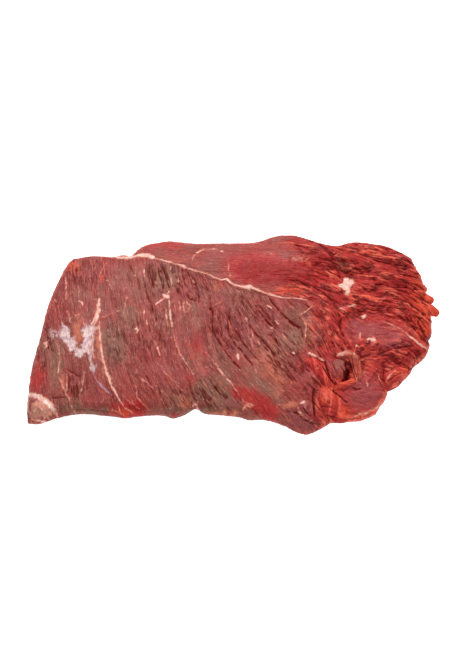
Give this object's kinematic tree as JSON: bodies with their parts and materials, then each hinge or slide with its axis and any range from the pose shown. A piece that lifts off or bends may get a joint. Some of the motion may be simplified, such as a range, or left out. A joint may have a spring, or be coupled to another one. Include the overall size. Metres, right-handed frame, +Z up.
{
  "type": "cecina beef slab",
  "caption": "Raw beef slab for cecina: a grained front muscle lying over a thinner back layer along a pale fat seam, with a fatty front corner and a torn, folded red end.",
  "frame": {"origin": "centre of the plan box, on the surface that the slab lies on", "axes": "+X runs from the fatty corner end to the torn end, +Y runs from the front muscle to the back layer, +Z is up"},
  "size_m": [0.3182, 0.1884, 0.0198],
  "materials": {
    "raw_beef": "satin"
  },
  "bodies": {
    "root": {"meat": "raw_beef"}
  },
  "joints": []
}
